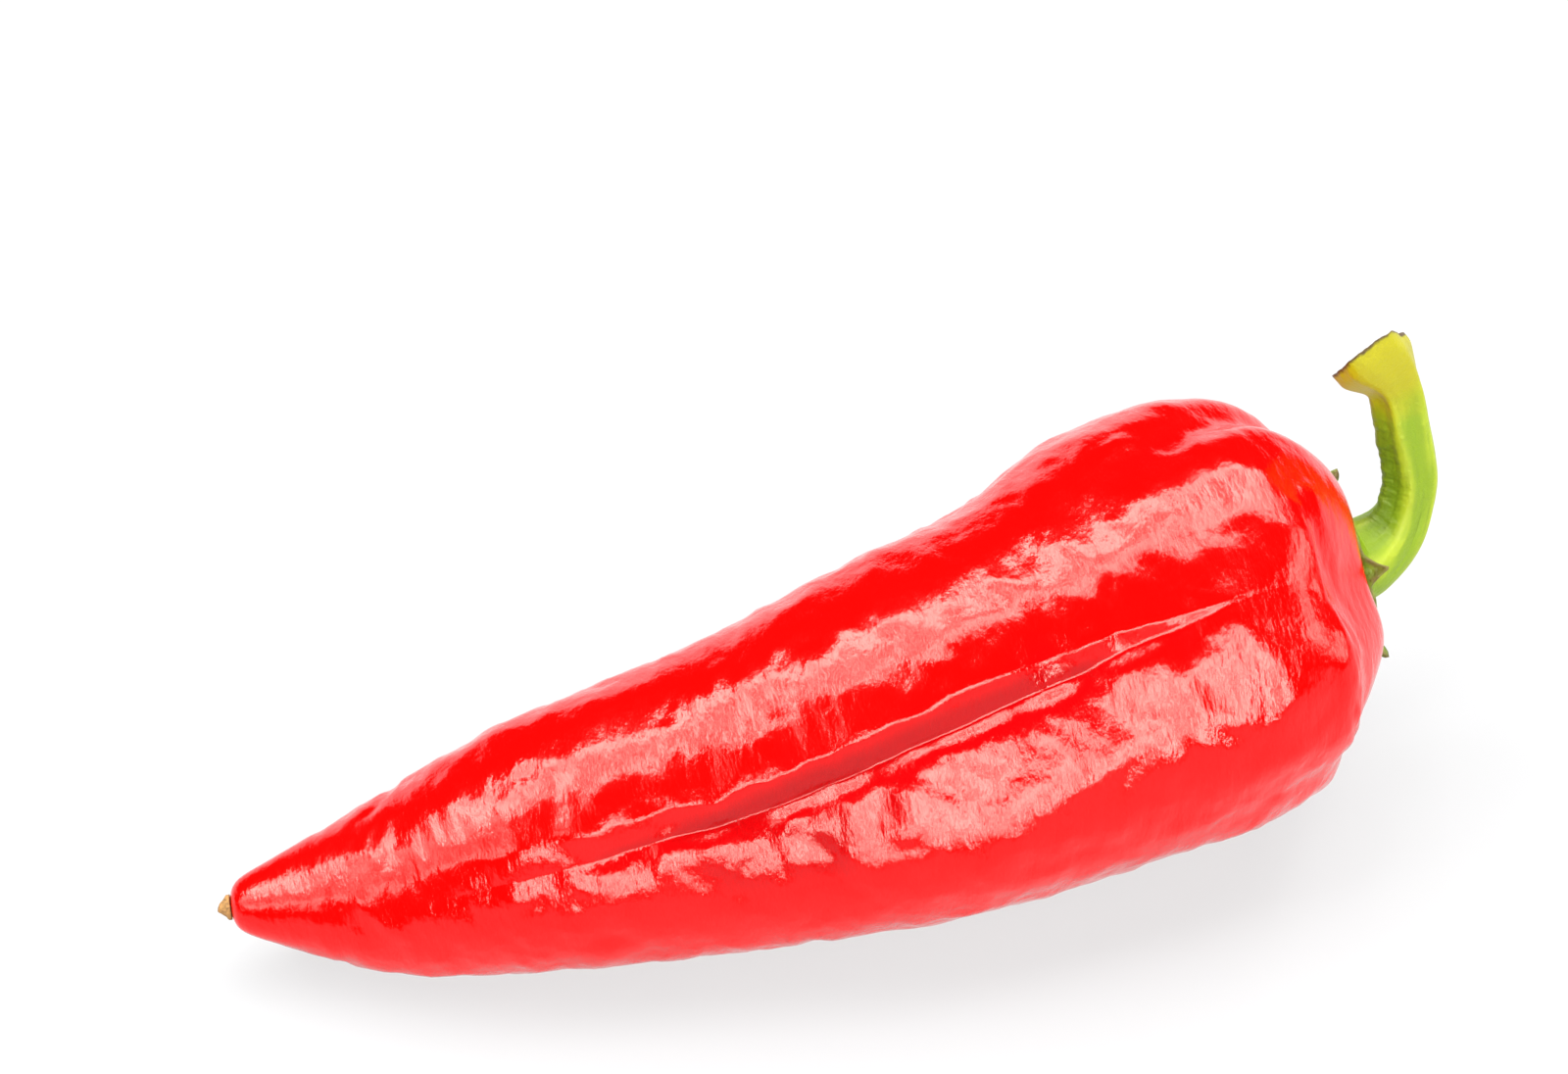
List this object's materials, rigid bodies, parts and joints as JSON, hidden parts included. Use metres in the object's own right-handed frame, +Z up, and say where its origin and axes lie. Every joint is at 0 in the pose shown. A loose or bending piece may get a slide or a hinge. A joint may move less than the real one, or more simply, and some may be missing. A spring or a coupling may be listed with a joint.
{
  "type": "pointed sweet pepper",
  "caption": "Red pointed sweet pepper lying on its side, with lobed shoulders, a green calyx and a stem that bends sharply upwards.",
  "frame": {"origin": "under the middle of the pepper's bounding box, on the surface that it rests on", "axes": "+X from the tip to the shoulders and stem, +Z up, -Y the side with the long groove"},
  "size_m": [0.176, 0.0638, 0.0637],
  "materials": {
    "skin": "glossy waxy skin, saturated red, with soft dents",
    "calyx": "leathery green with dried brown teeth",
    "stem": "satin yellow-green, ridged along its length, dry brown rim at the cut",
    "dried_style": "rough dry cork"
  },
  "bodies": {
    "root": {"fruit": "skin", "calyx": "calyx", "stem": "stem", "style_remains": "dried_style"}
  },
  "joints": []
}
